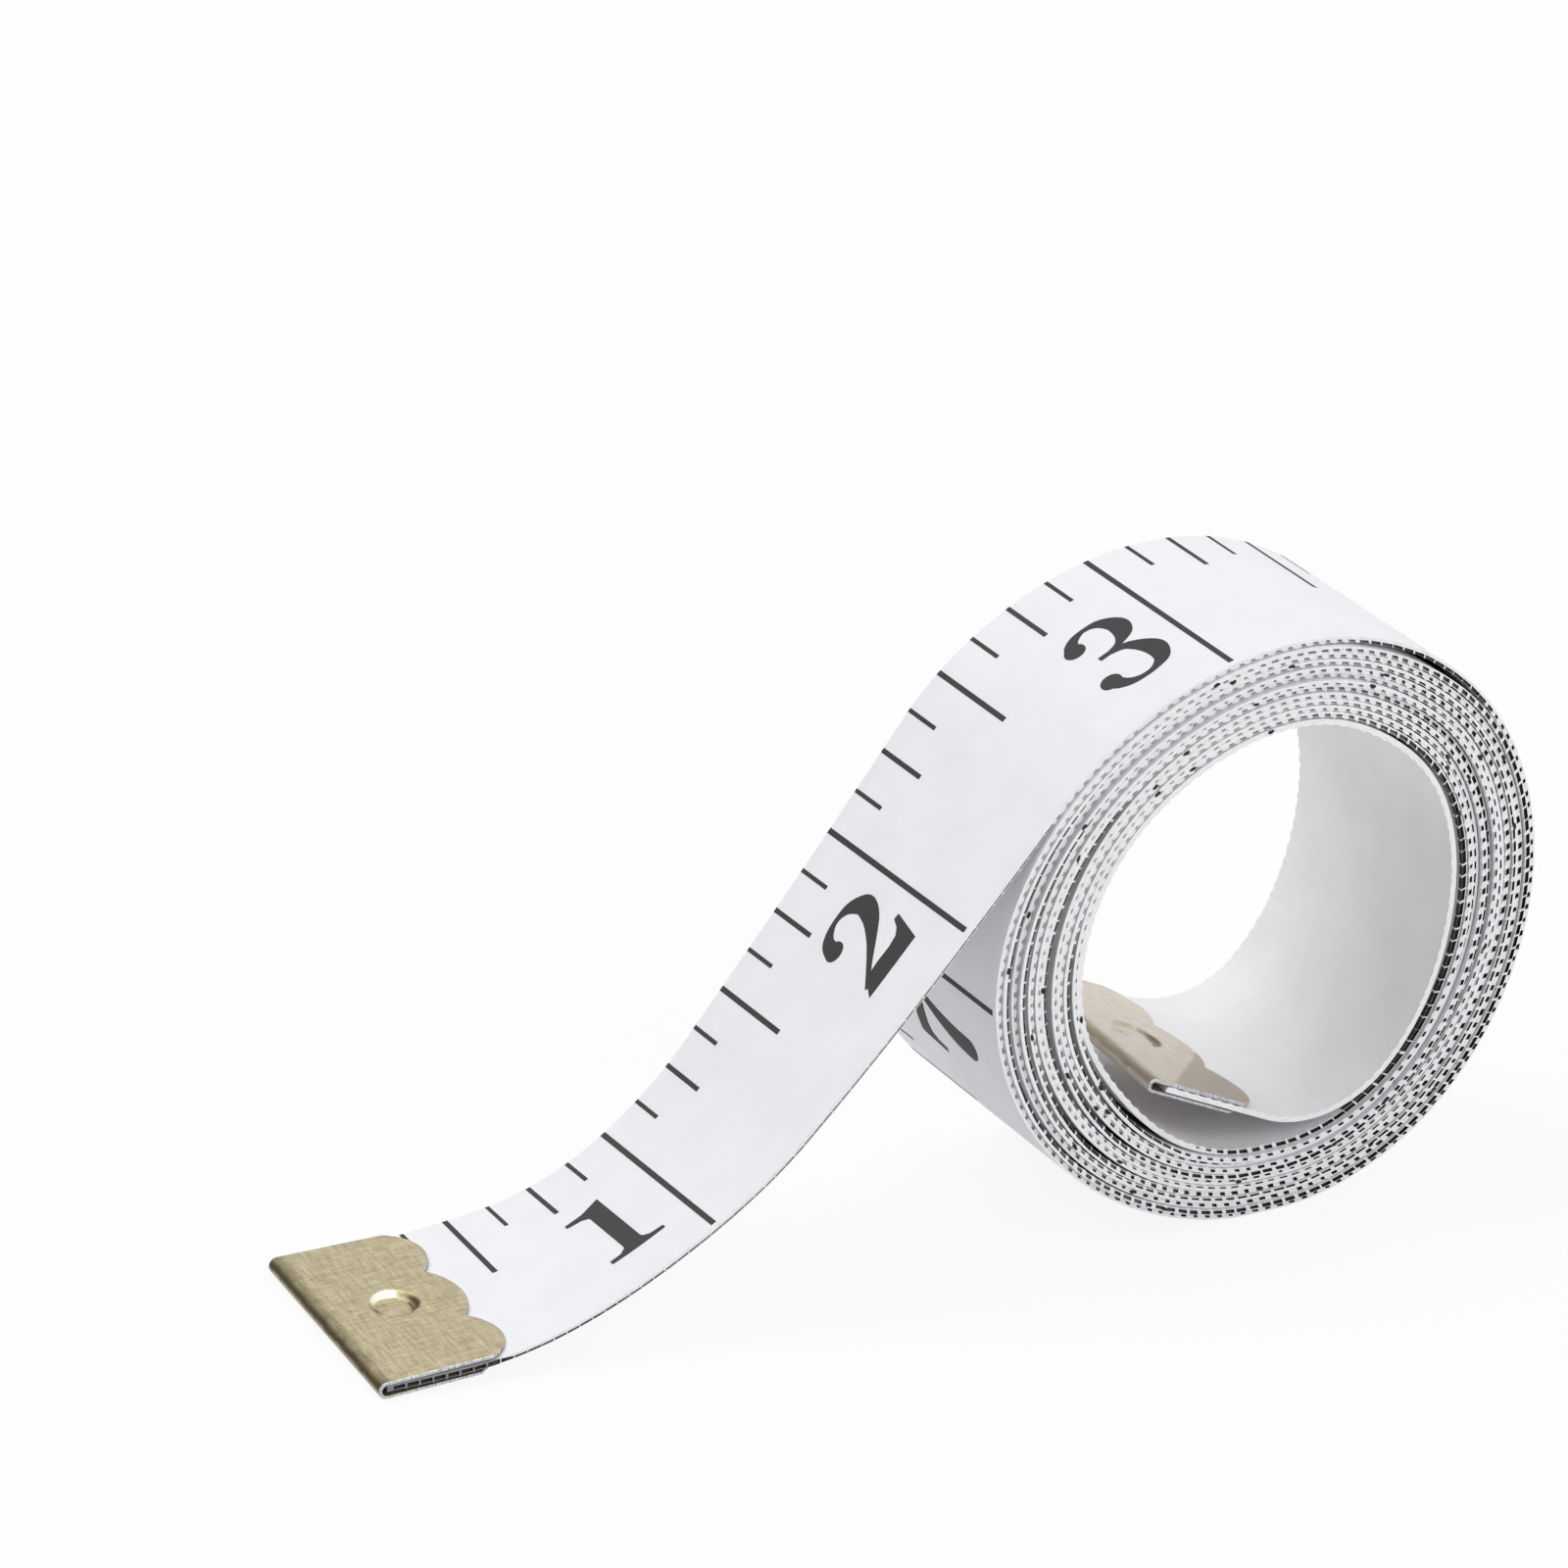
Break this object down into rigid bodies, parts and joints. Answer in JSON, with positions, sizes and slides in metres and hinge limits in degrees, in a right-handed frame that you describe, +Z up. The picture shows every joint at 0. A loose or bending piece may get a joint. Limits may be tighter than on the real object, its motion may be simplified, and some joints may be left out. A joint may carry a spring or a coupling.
{
  "type": "tape measure",
  "caption": "Flexible tailor's tape measure wound into an open roll, its printed zero end led down flat on the bench, with a folded metal clip crimped on each end.",
  "frame": {"origin": "middle of the flat foot under the roll, on the bench", "axes": "+Z up from the bench; Y along the roll's axis, with the printing read from the -Y side; the zero end lies towards -X"},
  "size_m": [0.0846, 0.0223, 0.0405],
  "materials": {
    "tape": "satin white coating over a dark woven core, black printing",
    "clip": "pale brushed brass"
  },
  "bodies": {
    "roll": {"tape_winding": "tape"},
    "tail_upper": {"tail_upper": "tape"},
    "tail_lower": {"tail_lower": "tape"},
    "tail_end": {"tail_end": "tape", "front_clip": "clip"},
    "inner_end": {"inner_end": "tape", "inner_clip": "clip"}
  },
  "joints": [
    {"name": "tail_swing", "type": "hinge", "parent": "roll", "child": "tail_upper", "pos_m": [-0.01632, 0, 0.0316], "axis": [0, 1, 0], "range_deg": [0, 45], "stiffness_Nm_per_rad": 0.0074},
    {"name": "tail_bend", "type": "hinge", "parent": "tail_upper", "child": "tail_lower", "pos_m": [-0.03404, 0.00029, 0.01059], "axis": [0.0342, 0.9981, -0.0521], "range_deg": [0, 35], "stiffness_Nm_per_rad": 0.0074},
    {"name": "tip_lift", "type": "hinge", "parent": "tail_lower", "child": "tail_end", "pos_m": [-0.04894, 0.00098, 0.00137], "axis": [0.0563, 0.9982, -0.0205], "range_deg": [0, 40], "stiffness_Nm_per_rad": 0.0074},
    {"name": "inner_flex", "type": "hinge", "parent": "roll", "child": "inner_end", "pos_m": [0.00694, 0, 0.00687], "axis": [0, 1, 0], "range_deg": [0, 30], "stiffness_Nm_per_rad": 0.0074}
  ]
}
